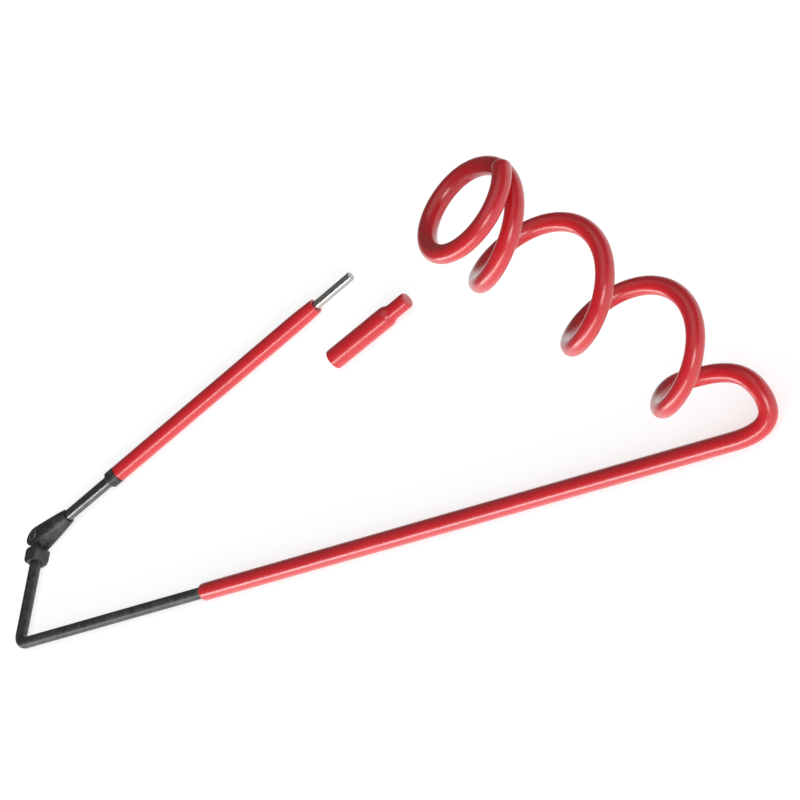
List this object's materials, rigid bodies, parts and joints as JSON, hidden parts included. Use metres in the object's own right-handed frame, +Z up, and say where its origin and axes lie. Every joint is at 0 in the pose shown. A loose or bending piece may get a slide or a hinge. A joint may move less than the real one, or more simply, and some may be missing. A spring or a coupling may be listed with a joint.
{
  "type": "drain auger",
  "caption": "Cranked steel rod with a red sleeve, wound into an open coil at one end, with a folding handle, turning grip and push-on cap.",
  "frame": {"origin": "centre of the bounding box's bottom face, on the surface that the tool lies on", "axes": "+X along the straight shaft towards the coil, +Z up along the coil's own axis"},
  "size_m": [0.7838, 0.253, 0.257],
  "materials": {
    "red_pvc": "smooth glossy red PVC",
    "black_steel": "satin black coated steel",
    "bright_steel": "bright turned steel",
    "dark_steel": "dark oiled steel",
    "nylon": "natural nylon"
  },
  "bodies": {
    "shaft": {"coil_core": "bright_steel", "crank_rod": "black_steel", "coil_sleeve": "red_pvc", "shaft_sleeve": "red_pvc", "coil_end_plug": "red_pvc", "throw_knuckle": "black_steel", "throw_cross_pin": "dark_steel"},
    "handle": {"arm_knuckle": "black_steel", "arm_cross_pin": "dark_steel", "hinge_pin": "dark_steel", "hinge_nut": "dark_steel", "hinge_washer_lower": "bright_steel", "hinge_washer_upper": "bright_steel", "handle_spindle": "bright_steel", "handle_collar": "black_steel", "grip_retaining_ring": "dark_steel"},
    "grip": {"grip_sleeve": "red_pvc", "grip_bush_inner": "nylon", "grip_bush_outer": "nylon"},
    "cap": {"end_cap": "red_pvc"}
  },
  "joints": [
    {"name": "handle_fold", "type": "hinge", "parent": "shaft", "child": "handle", "pos_m": [-0.38444, -0.01978, 0.006], "axis": [0, 0, 1], "range_deg": [-26, 152]},
    {"name": "grip_spin", "type": "hinge", "parent": "handle", "child": "grip", "pos_m": [-0.38444, -0.01978, 0.006], "axis": [0.8882, 0.4594, 0], "continuous": true},
    {"name": "cap_slide", "type": "slide", "parent": "handle", "child": "cap", "axis": [-0.8988, -0.4384, 0], "range_m": [0, 0.06]}
  ]
}
